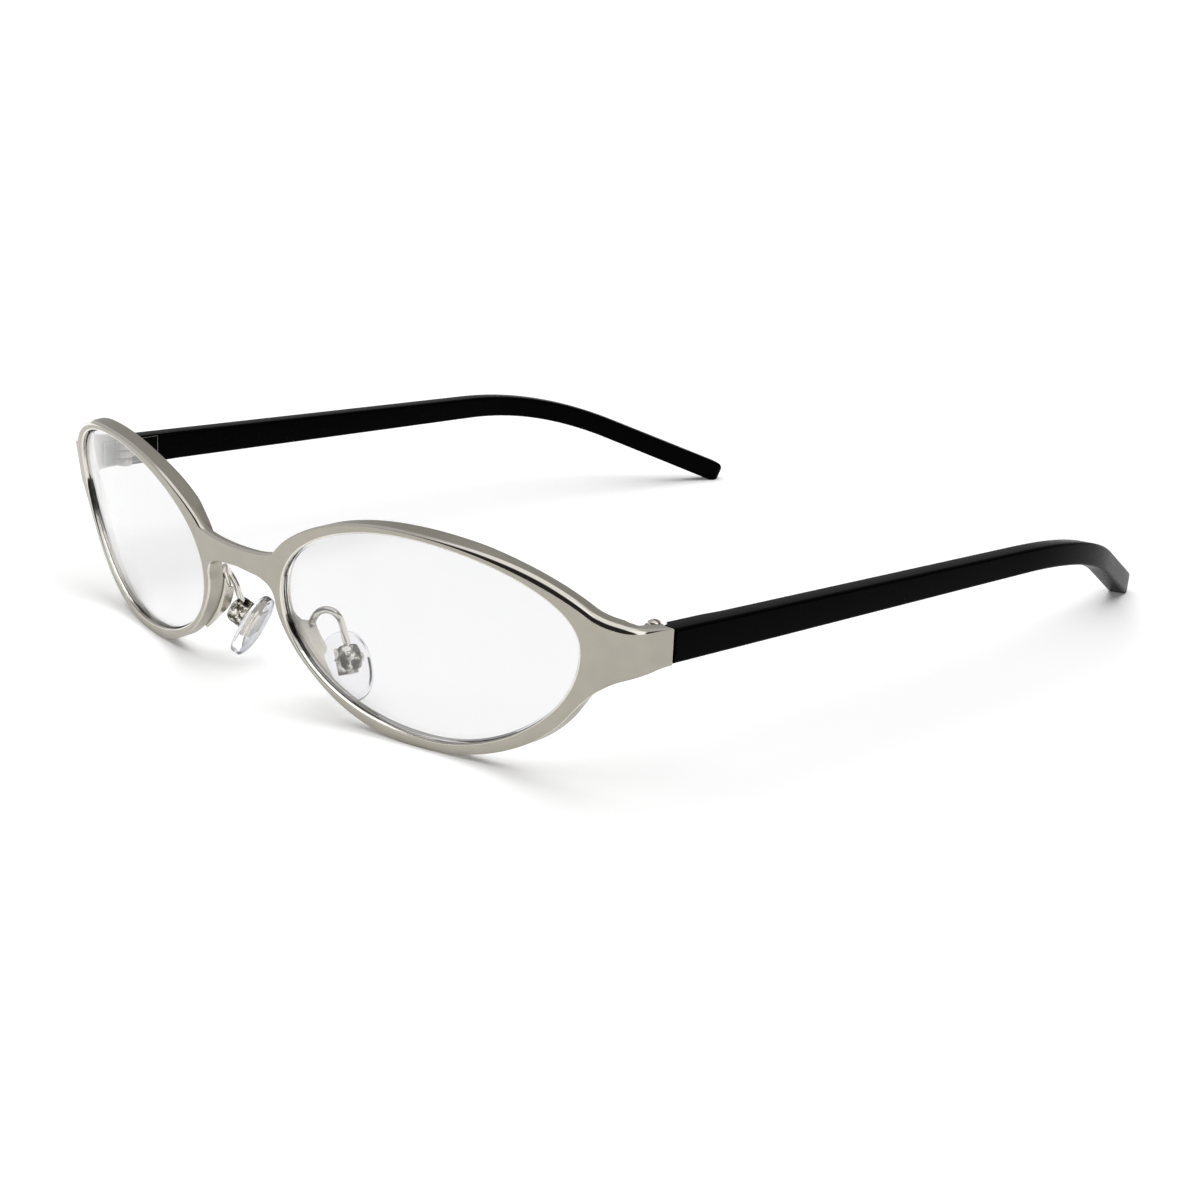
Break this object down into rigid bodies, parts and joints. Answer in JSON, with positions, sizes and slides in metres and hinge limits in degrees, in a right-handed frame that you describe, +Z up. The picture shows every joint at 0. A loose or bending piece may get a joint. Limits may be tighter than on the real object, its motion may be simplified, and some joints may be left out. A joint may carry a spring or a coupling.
{
  "type": "oval spectacle frame",
  "caption": "Oval full-rim metal spectacles with clear lenses, slim black folding temples and rocking clear nose pads on wire arms.",
  "frame": {"origin": "middle of the footprint on the floor that the rims and the temple tips stand on", "axes": "+X to the wearer's left, the front faces -Y with the temples running back along +Y, +Z up"},
  "size_m": [0.132, 0.1558, 0.0318],
  "materials": {
    "satin_metal": "satin",
    "polished_metal": "polished",
    "black_temple": "gloss",
    "clear_lens": "polished",
    "clear_pad": "smooth"
  },
  "bodies": {
    "front": {"front_frame": "satin_metal", "left_lens": "clear_lens", "right_lens": "clear_lens", "left_front_hinge": "polished_metal", "right_front_hinge": "polished_metal", "left_hinge_screw": "polished_metal", "right_hinge_screw": "polished_metal", "left_pad_arm": "satin_metal", "right_pad_arm": "satin_metal", "left_pad_box": "polished_metal", "right_pad_box": "polished_metal", "left_pad_screw": "polished_metal", "right_pad_screw": "polished_metal"},
    "left_temple": {"left_temple_arm": "black_temple", "left_temple_hinge": "polished_metal", "left_temple_core": "polished_metal"},
    "right_temple": {"right_temple_arm": "black_temple", "right_temple_hinge": "polished_metal", "right_temple_core": "polished_metal"},
    "left_pad": {"left_nose_pad": "clear_pad", "left_pad_core": "polished_metal"},
    "right_pad": {"right_nose_pad": "clear_pad", "right_pad_core": "polished_metal"}
  },
  "joints": [
    {"name": "left_temple_fold", "type": "hinge", "parent": "front", "child": "left_temple", "pos_m": [0.06205, -0.05578, 0.02066], "axis": [0, 0, 1], "range_deg": [0, 88]},
    {"name": "right_temple_fold", "type": "hinge", "parent": "front", "child": "right_temple", "pos_m": [-0.06205, -0.05578, 0.02066], "axis": [0, 0, -1], "range_deg": [0, 78]},
    {"name": "left_pad_rock", "type": "hinge", "parent": "front", "child": "left_pad", "pos_m": [0.01352, -0.06595, 0.00695], "axis": [0.4054, 0.9101, 0.086], "range_deg": [-10, 10]},
    {"name": "right_pad_rock", "type": "hinge", "parent": "front", "child": "right_pad", "pos_m": [-0.01352, -0.06595, 0.00695], "axis": [0.4054, -0.9101, -0.086], "range_deg": [-10, 10]}
  ]
}
